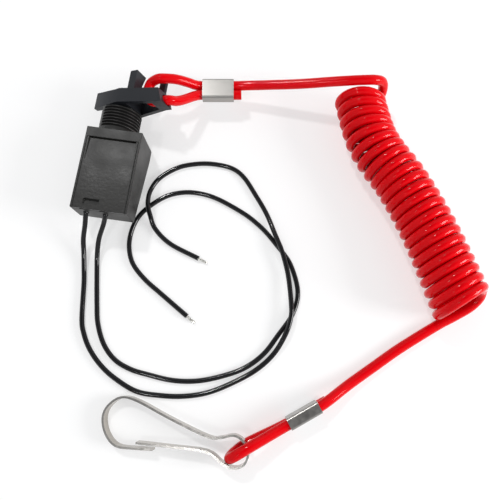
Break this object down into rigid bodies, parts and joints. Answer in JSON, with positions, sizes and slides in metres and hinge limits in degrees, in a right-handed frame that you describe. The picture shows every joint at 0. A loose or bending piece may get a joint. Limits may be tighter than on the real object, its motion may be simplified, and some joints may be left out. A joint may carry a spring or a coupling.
{
  "type": "engine kill switch",
  "caption": "Engine kill switch with a threaded panel neck, two wires, and a fork key that pulls off on a coiled lanyard with a spring hook.",
  "frame": {"origin": "centre of the rear pad that the case lies on, on the surface under it", "axes": "+Y along the panel neck, out of the case; +Z out of the front cover; +X to the key's eye end"},
  "size_m": [0.1653, 0.1559, 0.0233],
  "materials": {
    "case_plastic": "black, fine moulded grain",
    "cover_plastic": "black, fine moulded grain",
    "plunger_plastic": "black, smooth",
    "seal_rubber": "black",
    "spring_steel": "plain",
    "carrier_plastic": "plain",
    "copper": "plain copper",
    "base_plastic": "plain",
    "contact_brass": "plain",
    "wire_insulation": "black, glossy",
    "tinned_strands": "bare tinned strands",
    "key_plastic": "black, satin",
    "lanyard_red": "red, glossy",
    "crimp_steel": "plated, satin",
    "hook_nickel": "nickel-plated strip"
  },
  "bodies": {
    "switch": {"case": "case_plastic", "cover": "cover_plastic", "spring_seat": "spring_steel", "contact_base": "base_plastic", "contact_left": "contact_brass", "contact_right": "contact_brass", "terminal_left": "contact_brass", "terminal_right": "contact_brass", "wire_left": "wire_insulation", "wire_right": "wire_insulation", "strands_left": "tinned_strands", "strands_right": "tinned_strands"},
    "plunger": {"plunger": "plunger_plastic", "plunger_seal": "seal_rubber", "return_spring": "spring_steel", "contact_carrier": "carrier_plastic", "contact_bridge": "copper"},
    "key": {"key": "key_plastic", "lanyard_upper": "lanyard_red", "lanyard_coil": "lanyard_red", "lanyard_lower": "lanyard_red", "crimp_upper": "crimp_steel", "crimp_lower": "crimp_steel", "snap_hook": "hook_nickel"}
  },
  "joints": [
    {"name": "key_slide", "type": "slide", "parent": "switch", "child": "key", "axis": [0.891, 0, 0.454], "range_m": [0, 0.03]},
    {"name": "plunger_slide", "type": "slide", "parent": "switch", "child": "plunger", "axis": [0, -1, 0], "range_m": [0, 0.0026]}
  ],
  "couplings": [
    {"joint": "plunger_slide", "follows": "key_slide", "ratio": 0.0866}
  ]
}
